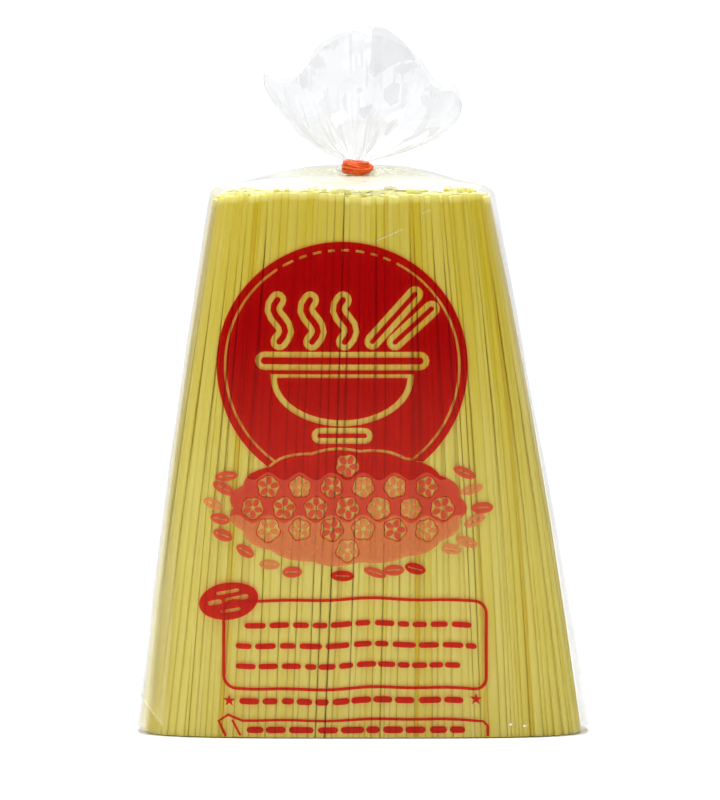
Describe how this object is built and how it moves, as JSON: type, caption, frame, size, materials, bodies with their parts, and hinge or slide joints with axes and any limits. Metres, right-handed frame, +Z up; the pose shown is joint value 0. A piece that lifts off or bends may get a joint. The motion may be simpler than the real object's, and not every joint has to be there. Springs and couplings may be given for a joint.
{
  "type": "tied bag of dried noodles",
  "caption": "Clear film bag of straight dried yellow noodles standing upright, its neck gathered and wound with a rubber band under an open frill.",
  "frame": {"origin": "bottom centre of the whole pack, on the surface it stands on", "axes": "+Z up along the strands, +X to the right seen from the printed front, front face towards -Y"},
  "size_m": [0.1765, 0.0632, 0.2832],
  "materials": {
    "noodles": "dry pasta, faintly glossy, deep yellow between the strands",
    "film": "thin clear glossy plastic film, printed in translucent red on the front",
    "rubber_band": "orange-red rubber"
  },
  "bodies": {
    "root": {"noodles": "noodles", "bag": "film", "rubber_band": "rubber_band"}
  },
  "joints": []
}
